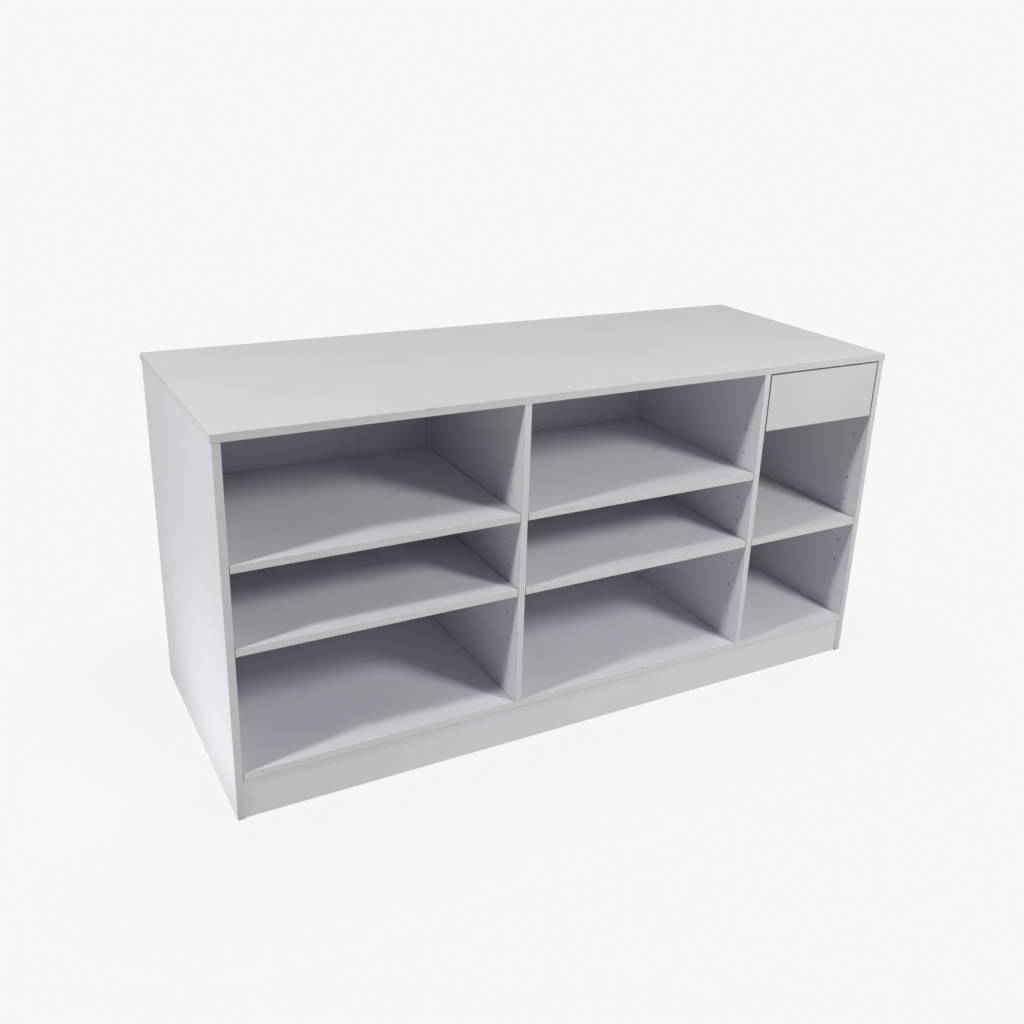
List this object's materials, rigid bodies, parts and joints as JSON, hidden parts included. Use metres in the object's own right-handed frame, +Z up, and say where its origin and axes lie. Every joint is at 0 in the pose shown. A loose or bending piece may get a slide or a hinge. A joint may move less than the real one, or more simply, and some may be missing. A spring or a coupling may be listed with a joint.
{
  "type": "retail counter",
  "caption": "White panel-built shop counter, open on the staff side, with shelf bays on pins, an inset drawer on telescopic runners and a recessed customer panel.",
  "frame": {"origin": "middle of the footprint on the floor", "axes": "+X along the counter towards the drawer, -Y towards the open staff side, +Y towards the customers, +Z up"},
  "size_m": [1.8, 0.7, 0.9],
  "materials": {
    "worktop_board": "satin pale grey-white melamine on chipboard",
    "melamine_board": "satin white melamine on chipboard",
    "edging_strip": "matt pale grey plastic edging",
    "hardboard": "white-faced hardboard",
    "beech": "raw beech",
    "nickelled_steel": "nickel plated",
    "zinc_plated_steel": "bright zinc plated",
    "bright_steel": "polished balls in a plated strip",
    "white_plastic": "satin white moulded plastic",
    "black_rubber": "matt black rubber"
  },
  "bodies": {
    "carcass": {"worktop": "worktop_board", "worktop_edging": "edging_strip", "left_end_panel": "melamine_board", "right_end_panel": "melamine_board", "end_panel_edgings": "edging_strip", "left_divider": "melamine_board", "right_divider": "melamine_board", "divider_edgings": "edging_strip", "deck": "melamine_board", "deck_edging": "edging_strip", "customer_panel": "melamine_board", "kick_board": "melamine_board", "plinth_bearers": "melamine_board", "shelf_pins": "nickelled_steel", "wooden_dowels": "beech", "cam_discs": "nickelled_steel", "cam_bolts": "zinc_plated_steel", "cam_cover_caps": "white_plastic", "deck_screws": "zinc_plated_steel", "fixing_angles": "zinc_plated_steel", "angle_screws": "zinc_plated_steel", "left_runner_cabinet_member": "zinc_plated_steel", "right_runner_cabinet_member": "zinc_plated_steel", "cabinet_member_screws": "zinc_plated_steel", "runner_bumpers": "black_rubber"},
    "drawer": {"drawer_front": "melamine_board", "drawer_front_edging": "edging_strip", "drawer_box_front": "melamine_board", "drawer_box_back": "melamine_board", "drawer_left_side": "melamine_board", "drawer_right_side": "melamine_board", "drawer_bottom": "hardboard", "drawer_front_screws": "zinc_plated_steel", "drawer_corner_screws": "zinc_plated_steel", "left_runner_drawer_member": "zinc_plated_steel", "right_runner_drawer_member": "zinc_plated_steel", "drawer_member_screws": "zinc_plated_steel"},
    "left_runner_middle": {"left_runner_middle_member": "zinc_plated_steel"},
    "right_runner_middle": {"right_runner_middle_member": "zinc_plated_steel"},
    "left_outer_ball_retainers": {"left_runner_outer_balls": "bright_steel"},
    "right_outer_ball_retainers": {"right_runner_outer_balls": "bright_steel"},
    "left_inner_ball_retainers": {"left_runner_inner_balls": "bright_steel"},
    "right_inner_ball_retainers": {"right_runner_inner_balls": "bright_steel"},
    "left_bay_upper_shelf": {"left_bay_upper_shelf": "melamine_board", "left_bay_upper_shelf_edging": "edging_strip"},
    "left_bay_lower_shelf": {"left_bay_lower_shelf": "melamine_board", "left_bay_lower_shelf_edging": "edging_strip"},
    "middle_bay_upper_shelf": {"middle_bay_upper_shelf": "melamine_board", "middle_bay_upper_shelf_edging": "edging_strip"},
    "middle_bay_lower_shelf": {"middle_bay_lower_shelf": "melamine_board", "middle_bay_lower_shelf_edging": "edging_strip"},
    "drawer_bay_shelf": {"drawer_bay_shelf": "melamine_board", "drawer_bay_shelf_edging": "edging_strip"}
  },
  "joints": [
    {"name": "drawer_slide", "type": "slide", "parent": "carcass", "child": "drawer", "axis": [0, -1, 0], "range_m": [0, 0.45]},
    {"name": "left_middle_slide", "type": "slide", "parent": "carcass", "child": "left_runner_middle", "axis": [0, -1, 0], "range_m": [0, 0.225]},
    {"name": "right_middle_slide", "type": "slide", "parent": "carcass", "child": "right_runner_middle", "axis": [0, -1, 0], "range_m": [0, 0.225]},
    {"name": "left_outer_ball_travel", "type": "slide", "parent": "carcass", "child": "left_outer_ball_retainers", "axis": [0, -1, 0], "range_m": [0, 0.1125]},
    {"name": "right_outer_ball_travel", "type": "slide", "parent": "carcass", "child": "right_outer_ball_retainers", "axis": [0, -1, 0], "range_m": [0, 0.1125]},
    {"name": "left_inner_ball_travel", "type": "slide", "parent": "carcass", "child": "left_inner_ball_retainers", "axis": [0, -1, 0], "range_m": [0, 0.3375]},
    {"name": "right_inner_ball_travel", "type": "slide", "parent": "carcass", "child": "right_inner_ball_retainers", "axis": [0, -1, 0], "range_m": [0, 0.3375]},
    {"name": "left_bay_upper_shelf_shift", "type": "slide", "parent": "carcass", "child": "left_bay_upper_shelf", "axis": [0, -1, 0], "range_m": [0, 0.055]},
    {"name": "left_bay_lower_shelf_shift", "type": "slide", "parent": "carcass", "child": "left_bay_lower_shelf", "axis": [0, -1, 0], "range_m": [0, 0.055]},
    {"name": "middle_bay_upper_shelf_shift", "type": "slide", "parent": "carcass", "child": "middle_bay_upper_shelf", "axis": [0, -1, 0], "range_m": [0, 0.055]},
    {"name": "middle_bay_lower_shelf_shift", "type": "slide", "parent": "carcass", "child": "middle_bay_lower_shelf", "axis": [0, -1, 0], "range_m": [0, 0.055]},
    {"name": "drawer_bay_shelf_shift", "type": "slide", "parent": "carcass", "child": "drawer_bay_shelf", "axis": [0, -1, 0], "range_m": [0, 0.055]}
  ],
  "couplings": [
    {"joint": "left_middle_slide", "follows": "drawer_slide", "ratio": 0.5},
    {"joint": "right_middle_slide", "follows": "drawer_slide", "ratio": 0.5},
    {"joint": "left_outer_ball_travel", "follows": "drawer_slide", "ratio": 0.25},
    {"joint": "right_outer_ball_travel", "follows": "drawer_slide", "ratio": 0.25},
    {"joint": "left_inner_ball_travel", "follows": "drawer_slide", "ratio": 0.75},
    {"joint": "right_inner_ball_travel", "follows": "drawer_slide", "ratio": 0.75}
  ]
}
